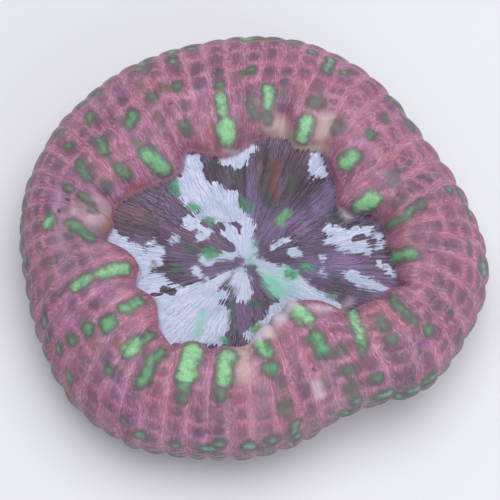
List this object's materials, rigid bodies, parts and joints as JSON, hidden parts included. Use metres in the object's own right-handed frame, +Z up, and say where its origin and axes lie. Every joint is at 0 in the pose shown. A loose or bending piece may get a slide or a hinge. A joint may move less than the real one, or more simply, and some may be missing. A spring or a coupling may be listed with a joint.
{
  "type": "scolymia coral",
  "caption": "Round single-polyp coral with a sunken patterned disc in a puffed ring of lumpy flesh, cut flat underneath to stand on a surface.",
  "frame": {"origin": "on the flat cut, under the middle of the coral's outline", "axes": "+Z up out of the cut, through the disc; the coral is widest along X"},
  "size_m": [0.0914, 0.0897, 0.0276],
  "materials": {
    "coral_flesh": "soft living tissue, matt with a faint wet sheen"
  },
  "bodies": {
    "root": {"scolymia_coral": "coral_flesh"}
  },
  "joints": []
}
